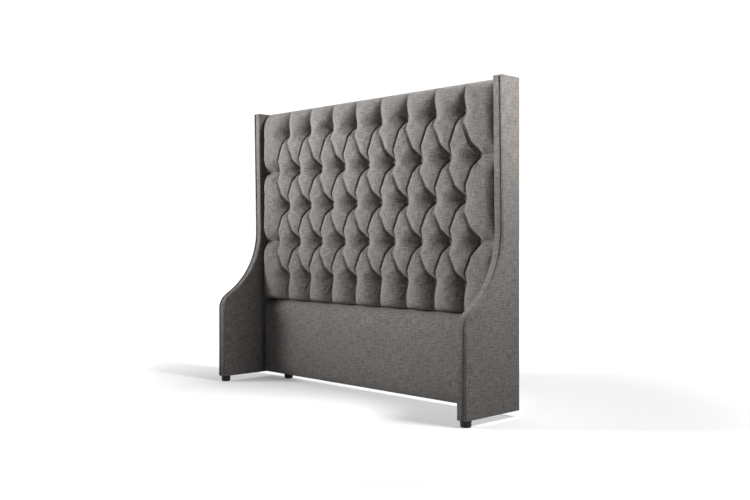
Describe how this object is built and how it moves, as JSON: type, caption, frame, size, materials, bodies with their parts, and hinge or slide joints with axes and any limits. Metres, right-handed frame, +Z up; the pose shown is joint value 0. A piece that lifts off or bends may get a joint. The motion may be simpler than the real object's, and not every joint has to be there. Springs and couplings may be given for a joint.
{
  "type": "upholstered wing headboard",
  "caption": "Upholstered floor-standing headboard with a diamond-tufted panel above a smooth one, held between curved side wings on short round feet.",
  "frame": {"origin": "on the floor, in the middle of the overall width and depth", "axes": "+X along the width to the right as seen from the front, +Y towards the back (wall side), +Z up"},
  "size_m": [1.6984, 0.35, 1.43],
  "materials": {
    "linen": "warm grey linen-look weave with horizontal slubs, matt",
    "lining": "black non-woven dust cloth, matt",
    "foam": "cream open-cell foam",
    "timber": "planed unfinished pine",
    "plywood": "unfinished plywood",
    "twine": "waxed polyester tufting twine",
    "zinc": "bright zinc plating",
    "feet": "black moulded plastic, satin"
  },
  "bodies": {
    "root": {"back_lining": "lining", "left_panel_foot": "feet", "left_panel_foot_screw": "zinc", "left_wing_bolt_1": "zinc", "left_wing_bolt_2": "zinc", "left_wing_bolt_3": "zinc", "left_wing_bottom_rail": "timber", "left_wing_cover": "linen", "left_wing_foot": "feet", "left_wing_foot_screw": "zinc", "left_wing_front_rib": "plywood", "left_wing_inner_board": "plywood", "left_wing_inner_foam": "foam", "left_wing_insert_1": "zinc", "left_wing_insert_2": "zinc", "left_wing_insert_3": "zinc", "left_wing_outer_board": "plywood", "left_wing_outer_foam": "foam", "left_wing_rear_post": "timber", "left_wing_shoulder_rail": "timber", "left_wing_top_rail": "timber", "lower_board": "plywood", "lower_cover": "linen", "lower_foam": "foam", "panel_bottom_rail": "timber", "panel_left_stile": "timber", "panel_left_stud": "timber", "panel_right_stile": "timber", "panel_right_stud": "timber", "panel_seam_rail": "timber", "panel_top_rail": "timber", "right_panel_foot": "feet", "right_panel_foot_screw": "zinc", "right_wing_bolt_1": "zinc", "right_wing_bolt_2": "zinc", "right_wing_bolt_3": "zinc", "right_wing_bottom_rail": "timber", "right_wing_cover": "linen", "right_wing_foot": "feet", "right_wing_foot_screw": "zinc", "right_wing_front_rib": "plywood", "right_wing_inner_board": "plywood", "right_wing_inner_foam": "foam", "right_wing_insert_1": "zinc", "right_wing_insert_2": "zinc", "right_wing_insert_3": "zinc", "right_wing_outer_board": "plywood", "right_wing_outer_foam": "foam", "right_wing_rear_post": "timber", "right_wing_shoulder_rail": "timber", "right_wing_top_rail": "timber", "tuft_board": "plywood", "tuft_twine_row_1": "twine", "tuft_twine_row_2": "twine", "tuft_twine_row_3": "twine", "tuft_twine_row_4": "twine", "tuft_twine_row_5": "twine", "tufted_cover": "linen", "tufted_foam": "foam"}
  },
  "joints": []
}
